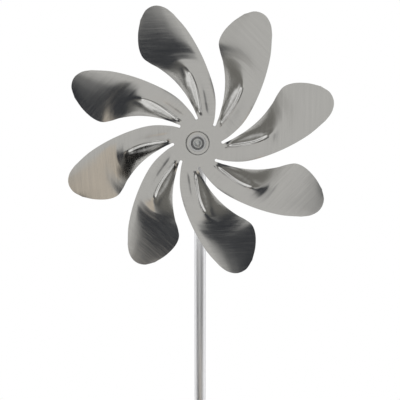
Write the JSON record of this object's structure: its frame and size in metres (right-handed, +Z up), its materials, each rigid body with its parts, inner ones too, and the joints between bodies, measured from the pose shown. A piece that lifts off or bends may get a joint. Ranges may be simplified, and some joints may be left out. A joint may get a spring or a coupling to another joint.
{
  "type": "garden wind spinner",
  "caption": "Stamped brushed steel wheel with swept, folded blades, spinning on ball bearings at the top of a slim round pole with a ground spike.",
  "frame": {"origin": "tip of the ground spike, on the pole's axis", "axes": "+Z up along the pole; the wheel faces -Y and spins about an axis along Y; +X is to the right of someone facing the wheel"},
  "size_m": [0.2678, 0.0507, 1.0539],
  "materials": {
    "brushed_stainless": "brushed lengthwise on each blade, clear",
    "turned_aluminium": "fine turned",
    "polished_tube": "bright drawn",
    "bearing_steel": "ground",
    "zinc_steel": "zinc plated",
    "black_plastic": "moulded, fine grain",
    "nylon": "moulded, natural"
  },
  "bodies": {
    "stand": {"axle_bolt": "zinc_steel", "bearing_spacer": "turned_aluminium", "connector_rivet": "turned_aluminium", "front_bearing_inner_race": "bearing_steel", "front_saddle": "black_plastic", "front_washer": "zinc_steel", "ground_spike": "zinc_steel", "lock_nut": "zinc_steel", "lock_nut_insert": "nylon", "lower_pole": "polished_tube", "pole_cap": "black_plastic", "pole_connector": "turned_aluminium", "rear_bearing_inner_race": "bearing_steel", "rear_saddle": "black_plastic", "rear_washer": "zinc_steel", "spike_pin": "zinc_steel", "standoff_sleeve": "turned_aluminium", "upper_pole": "polished_tube"},
    "wheel": {"bearing_retaining_ring": "bearing_steel", "front_bearing_front_shield": "bearing_steel", "front_bearing_outer_race": "bearing_steel", "front_bearing_rear_shield": "bearing_steel", "hub_bush": "turned_aluminium", "rear_bearing_front_shield": "bearing_steel", "rear_bearing_outer_race": "bearing_steel", "rear_bearing_rear_shield": "bearing_steel", "wheel_sheet": "brushed_stainless"},
    "front_ball_set": {"front_bearing_ball_1": "bearing_steel", "front_bearing_ball_2": "bearing_steel", "front_bearing_ball_3": "bearing_steel", "front_bearing_ball_4": "bearing_steel", "front_bearing_ball_5": "bearing_steel", "front_bearing_ball_6": "bearing_steel", "front_bearing_ball_7": "bearing_steel", "front_bearing_cage": "nylon"},
    "rear_ball_set": {"rear_bearing_ball_1": "bearing_steel", "rear_bearing_ball_2": "bearing_steel", "rear_bearing_ball_3": "bearing_steel", "rear_bearing_ball_4": "bearing_steel", "rear_bearing_ball_5": "bearing_steel", "rear_bearing_ball_6": "bearing_steel", "rear_bearing_ball_7": "bearing_steel", "rear_bearing_cage": "nylon"}
  },
  "joints": [
    {"name": "wheel_spin", "type": "hinge", "parent": "stand", "child": "wheel", "pos_m": [0, -0.0205, 0.92], "axis": [0, -1, 0], "continuous": true},
    {"name": "front_cage_spin", "type": "hinge", "parent": "stand", "child": "front_ball_set", "pos_m": [0, -0.025, 0.92], "axis": [0, -1, 0], "continuous": true},
    {"name": "rear_cage_spin", "type": "hinge", "parent": "stand", "child": "rear_ball_set", "pos_m": [0, -0.0157, 0.92], "axis": [0, -1, 0], "continuous": true}
  ],
  "couplings": [
    {"joint": "front_cage_spin", "follows": "wheel_spin", "ratio": 0.6353},
    {"joint": "rear_cage_spin", "follows": "wheel_spin", "ratio": 0.6353}
  ]
}
